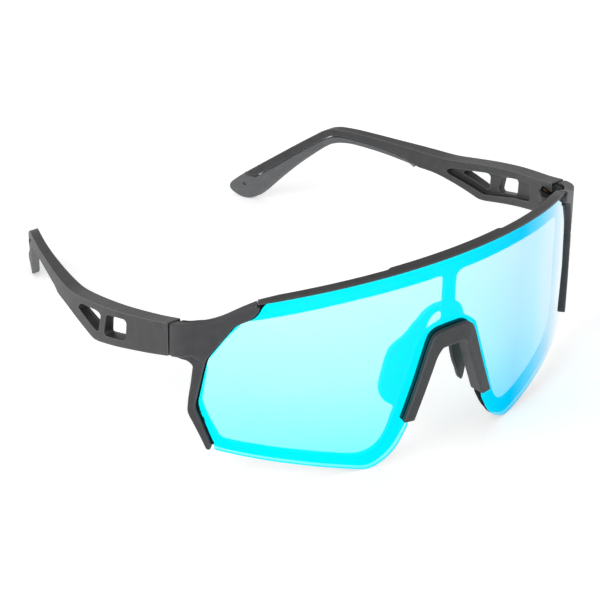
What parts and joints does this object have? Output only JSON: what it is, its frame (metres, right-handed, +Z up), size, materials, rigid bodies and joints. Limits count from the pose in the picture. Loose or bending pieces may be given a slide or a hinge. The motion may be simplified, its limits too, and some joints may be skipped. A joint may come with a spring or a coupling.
{
  "type": "shield sunglasses for mountain use",
  "caption": "Wrap-around glacier sunglasses: one-piece mirrored shield lens in a plastic frame, with side clamps, nose clip and saddle, and folding temples with rubber grips.",
  "frame": {"origin": "on the table, under the middle of the glasses' footprint", "axes": "+X towards the wearer's left, -Y the way the lens faces, +Z up"},
  "size_m": [0.1536, 0.1728, 0.069],
  "materials": {
    "front_frame": "fine matte black moulding",
    "lens": "cyan mirror coating on polycarbonate, see-through",
    "nose_clip": "matte black",
    "nose_saddle": "soft silicone",
    "side_clamp_left": "matte black",
    "side_clamp_right": "matte black",
    "temple_left": "matte black",
    "temple_right": "matte black",
    "temple_grip_left": "fine-grained soft rubber",
    "temple_grip_right": "fine-grained soft rubber",
    "hinge_screw_left": "bright",
    "hinge_screw_right": "bright",
    "hinge_insert_left": "machined",
    "hinge_insert_right": "machined",
    "clamp_screw_upper_left": "bright",
    "clamp_screw_upper_right": "bright",
    "clamp_screw_lower_left": "bright",
    "clamp_screw_lower_right": "bright"
  },
  "bodies": {
    "front": {"front_frame": "front_frame", "lens": "lens", "nose_clip": "nose_clip", "nose_saddle": "nose_saddle", "side_clamp_left": "side_clamp_left", "side_clamp_right": "side_clamp_right", "hinge_screw_left": "hinge_screw_left", "hinge_screw_right": "hinge_screw_right", "hinge_insert_left": "hinge_insert_left", "hinge_insert_right": "hinge_insert_right", "clamp_screw_upper_left": "clamp_screw_upper_left", "clamp_screw_upper_right": "clamp_screw_upper_right", "clamp_screw_lower_left": "clamp_screw_lower_left", "clamp_screw_lower_right": "clamp_screw_lower_right"},
    "left_arm": {"temple_left": "temple_left", "temple_grip_left": "temple_grip_left"},
    "right_arm": {"temple_right": "temple_right", "temple_grip_right": "temple_grip_right"}
  },
  "joints": [
    {"name": "left_fold", "type": "hinge", "parent": "front", "child": "left_arm", "pos_m": [0.0706, -0.04262, 0.0449], "axis": [0, 0, 1], "range_deg": [0, 83]},
    {"name": "right_fold", "type": "hinge", "parent": "front", "child": "right_arm", "pos_m": [-0.0706, -0.04262, 0.0449], "axis": [0, 0, -1], "range_deg": [0, 73]}
  ]
}
